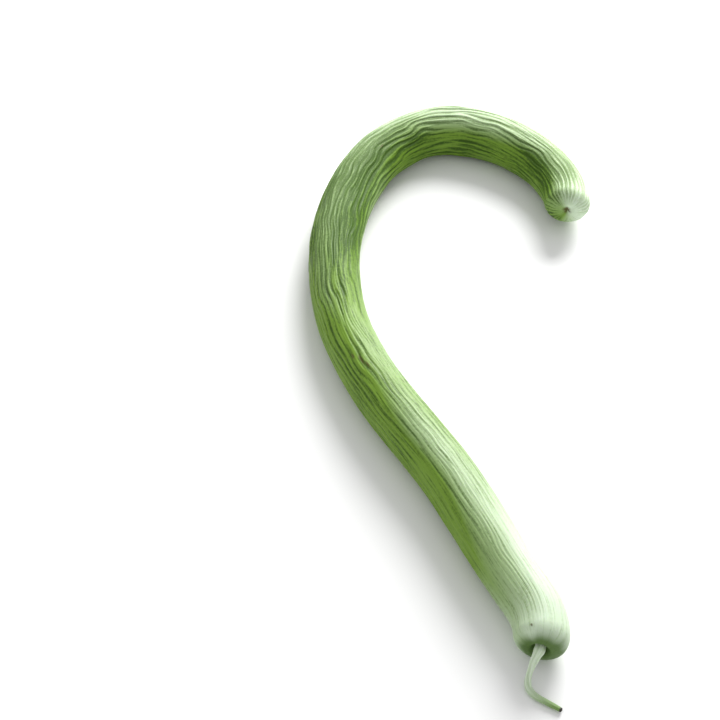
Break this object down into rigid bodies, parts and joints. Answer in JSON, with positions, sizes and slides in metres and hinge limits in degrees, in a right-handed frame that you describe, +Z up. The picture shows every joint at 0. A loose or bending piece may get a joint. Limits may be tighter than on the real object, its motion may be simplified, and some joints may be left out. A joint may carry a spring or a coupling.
{
  "type": "armenian cucumber",
  "caption": "Long pale green Armenian cucumber with a hooked blossom end and its cut stem, lying on its side as picked.",
  "frame": {"origin": "under the middle of the whole object's box, on the surface that it lies on", "axes": "+Z up, +Y from the stem end towards the hook, +X towards the side that the hook turns to"},
  "size_m": [0.282, 0.7236, 0.054],
  "materials": {
    "skin": "waxy ribbed rind, pale green with darker green furrows",
    "stem": "ribbed pale green stalk, dried brown at the cut end"
  },
  "bodies": {
    "root": {"fruit": "skin", "stem": "stem"}
  },
  "joints": []
}
